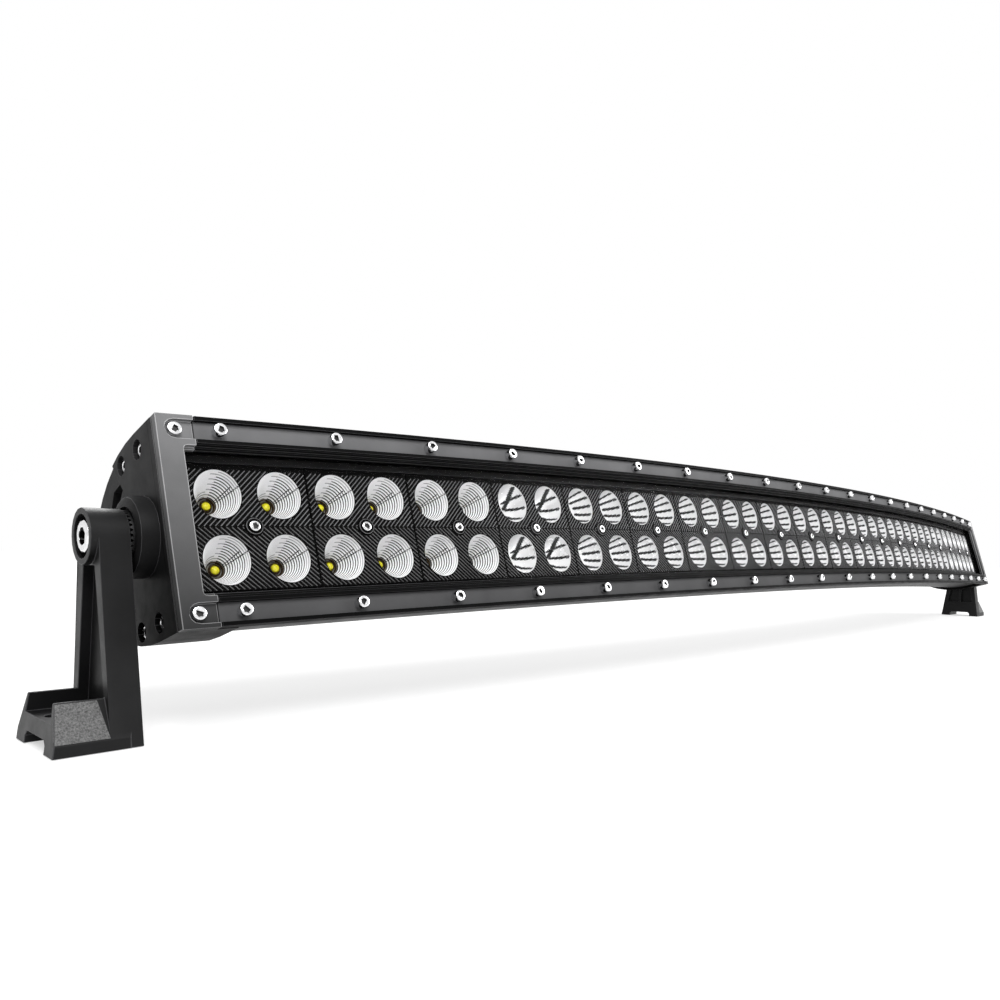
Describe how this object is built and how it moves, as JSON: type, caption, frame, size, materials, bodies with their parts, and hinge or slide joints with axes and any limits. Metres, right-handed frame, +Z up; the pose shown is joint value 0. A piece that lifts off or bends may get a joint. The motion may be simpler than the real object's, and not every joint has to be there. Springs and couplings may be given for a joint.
{
  "type": "led light bar",
  "caption": "Curved double-row LED light bar with a finned housing, wide-beam lamps at its ends, and a cast foot on a pivot bolt at each end.",
  "frame": {"origin": "on the ground under the middle of the bar's bounding box", "axes": "+X along the bar, -Y the way the lamps shine, +Z up"},
  "size_m": [1.0972, 0.121, 0.1314],
  "materials": {
    "extrusion_black": "satin black powder coat",
    "cap_black": "satin black powder coat on a casting",
    "bezel_black": "satin black powder coat",
    "rail_black": "satin black powder coat",
    "lens_clear": "clear polycarbonate",
    "gasket_rubber": "matte silicone",
    "reflector": "mirror-coated cups in a black moulded face",
    "led_board": "white solder mask with yellow light chips",
    "driver_board": "green circuit board with coils and capacitors",
    "fitting_black": "moulded nylon",
    "stainless": "bright stainless",
    "dark_steel": "blackened",
    "cast_black": "black powder coat on a die casting, rough on the wings of the foot"
  },
  "bodies": {
    "left_bracket": {"bracket_left": "cast_black"},
    "bar": {"housing": "extrusion_black", "end_cap_left": "cap_black", "end_cap_right": "cap_black", "end_bezel_left": "bezel_black", "end_bezel_right": "bezel_black", "rail_top": "rail_black", "rail_bottom": "rail_black", "lens": "lens_clear", "lens_gasket": "gasket_rubber", "cable_gland": "fitting_black", "breather_vent": "fitting_black", "pivot_bolt_left": "stainless", "pivot_bolt_right": "stainless", "toothed_washer_left": "dark_steel", "toothed_washer_right": "dark_steel", "reflector_01": "reflector", "reflector_02": "reflector", "reflector_03": "reflector", "reflector_04": "reflector", "reflector_05": "reflector", "reflector_06": "reflector", "reflector_07": "reflector", "reflector_08": "reflector", "reflector_09": "reflector", "reflector_10": "reflector", "reflector_11": "reflector", "reflector_12": "reflector", "reflector_13": "reflector", "reflector_14": "reflector", "reflector_15": "reflector", "reflector_16": "reflector", "reflector_17": "reflector", "reflector_18": "reflector", "reflector_19": "reflector", "reflector_20": "reflector", "led_board_1": "led_board", "led_board_2": "led_board", "led_board_3": "led_board", "led_board_4": "led_board", "driver_board_1": "driver_board", "driver_board_2": "driver_board"},
    "right_bracket": {"bracket_right": "cast_black"}
  },
  "joints": [
    {"name": "bar_tilt", "type": "hinge", "parent": "left_bracket", "child": "bar", "pos_m": [-0.525, 0, 0.0757], "axis": [1, 0, 0], "continuous": true},
    {"name": "right_foot_turn", "type": "hinge", "parent": "bar", "child": "right_bracket", "pos_m": [0.525, 0, 0.0757], "axis": [1, 0, 0], "continuous": true}
  ],
  "couplings": [
    {"joint": "right_foot_turn", "follows": "bar_tilt", "ratio": -1}
  ]
}
